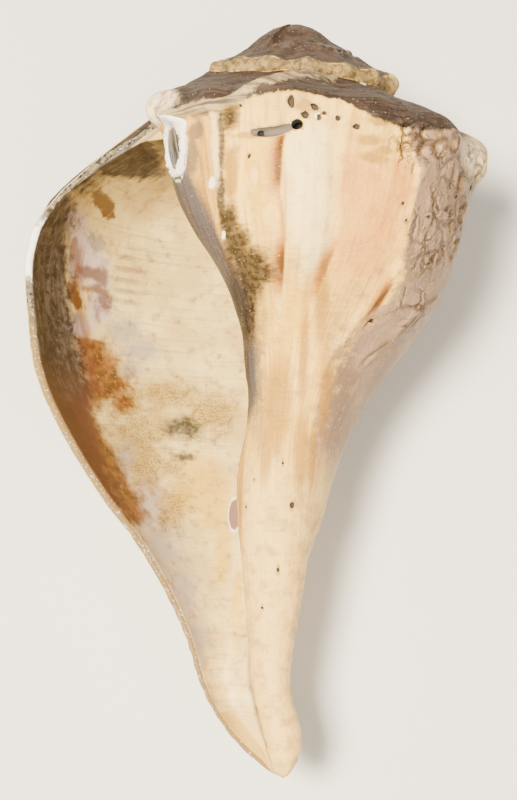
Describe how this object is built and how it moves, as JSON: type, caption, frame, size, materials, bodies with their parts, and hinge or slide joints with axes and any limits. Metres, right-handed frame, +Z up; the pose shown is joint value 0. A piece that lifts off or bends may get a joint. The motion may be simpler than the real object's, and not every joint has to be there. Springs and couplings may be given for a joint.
{
  "type": "whelk shell",
  "caption": "Large left-handed whelk shell, beach-worn and bored by pits, with a knobbed shoulder, an open mouth and a long tapered canal.",
  "frame": {"origin": "middle of the bottom of the box round the shell as it lies on a surface", "axes": "+Z up, the mouth side; +Y along the shell towards the spire end; +X to the side away from the lip"},
  "size_m": [0.1228, 0.1982, 0.1003],
  "materials": {
    "worn_shell_lime": "worn satin shell lime with chalky and stained patches"
  },
  "bodies": {
    "root": {"whelk_shell": "worn_shell_lime"}
  },
  "joints": []
}
